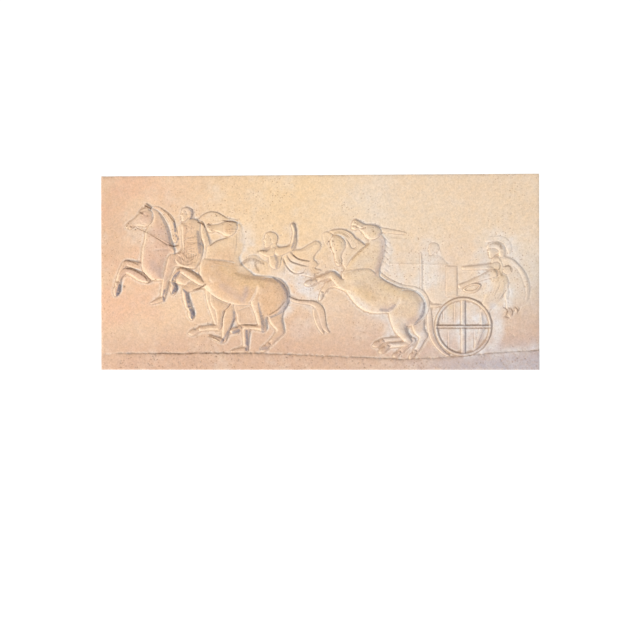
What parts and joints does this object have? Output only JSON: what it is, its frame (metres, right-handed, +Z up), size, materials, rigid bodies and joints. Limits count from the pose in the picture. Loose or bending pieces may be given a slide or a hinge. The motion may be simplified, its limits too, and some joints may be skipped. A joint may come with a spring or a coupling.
{
  "type": "plaster relief frieze",
  "caption": "Rectangular cast plaster wall panel in low relief: riders, a rearing chariot team, a driver, a running attendant and a foot soldier on a ground line.",
  "frame": {"origin": "middle of the flat back face, which lies against the wall", "axes": "+X along the panel's length, to the right as it is looked at; +Y into the wall, so the carved face looks along -Y; +Z up"},
  "size_m": [1.08, 0.0409, 0.48],
  "materials": {
    "plaster": "matte"
  },
  "bodies": {
    "root": {"frieze_panel": "plaster"}
  },
  "joints": []
}
